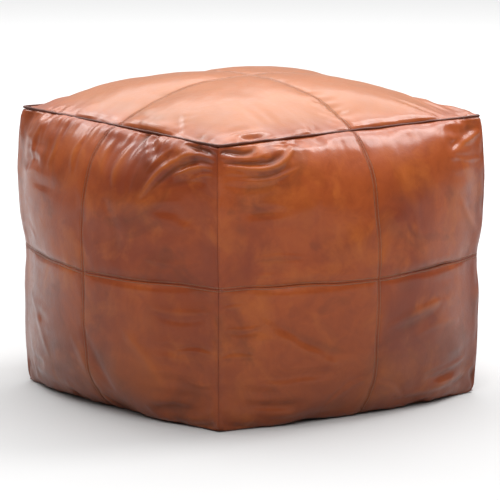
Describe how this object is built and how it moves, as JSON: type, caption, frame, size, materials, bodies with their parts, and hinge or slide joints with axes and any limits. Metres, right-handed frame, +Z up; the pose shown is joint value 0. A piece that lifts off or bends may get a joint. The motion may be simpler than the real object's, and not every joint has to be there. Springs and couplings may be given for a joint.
{
  "type": "leather pouf",
  "caption": "Square stuffed leather pouf: patchwork panels with a dark welt round the top seam, zipped underneath over a cotton liner.",
  "frame": {"origin": "on the floor, under the middle of the pouf", "axes": "+Z up; the zip in the base runs along X, and its closed slider is at the +X end"},
  "size_m": [0.5228, 0.5228, 0.4042],
  "materials": {
    "leather_tan": "satin",
    "leather_dark": "satin",
    "liner_cotton": "matte",
    "stuffing_fibre": "matte",
    "zip_tape": "matte",
    "zip_metal": "satin"
  },
  "bodies": {
    "pouf": {"top_panel_front_left": "leather_tan", "top_panel_front_right": "leather_tan", "top_panel_back_left": "leather_tan", "top_panel_back_right": "leather_tan", "front_panel_upper_left": "leather_tan", "front_panel_upper_right": "leather_tan", "front_panel_lower_left": "leather_tan", "front_panel_lower_right": "leather_tan", "right_panel_upper_left": "leather_tan", "right_panel_upper_right": "leather_tan", "right_panel_lower_left": "leather_tan", "right_panel_lower_right": "leather_tan", "back_panel_upper_left": "leather_tan", "back_panel_upper_right": "leather_tan", "back_panel_lower_left": "leather_tan", "back_panel_lower_right": "leather_tan", "left_panel_upper_left": "leather_tan", "left_panel_upper_right": "leather_tan", "left_panel_lower_left": "leather_tan", "left_panel_lower_right": "leather_tan", "base_panel_front": "leather_tan", "base_panel_back": "leather_tan", "top_welt": "leather_dark", "liner_top": "liner_cotton", "liner_wall": "liner_cotton", "liner_base": "liner_cotton", "stuffing": "stuffing_fibre", "zip_tape_front": "zip_tape", "zip_tape_back": "zip_tape", "zip_teeth_front": "zip_metal", "zip_teeth_back": "zip_metal", "zip_top_stops": "zip_metal", "zip_bottom_stop": "zip_metal"},
    "slider": {"zip_slider": "zip_metal"},
    "pull_tab": {"zip_pull_tab": "zip_metal"}
  },
  "joints": [
    {"name": "zip_slide", "type": "slide", "parent": "pouf", "child": "slider", "axis": [-1, 0, 0], "range_m": [0, 0.284]},
    {"name": "pull_tab_hinge", "type": "hinge", "parent": "slider", "child": "pull_tab", "pos_m": [0.142, 0, 0.0049], "axis": [0, -1, 0], "range_deg": [0, 162]}
  ]
}
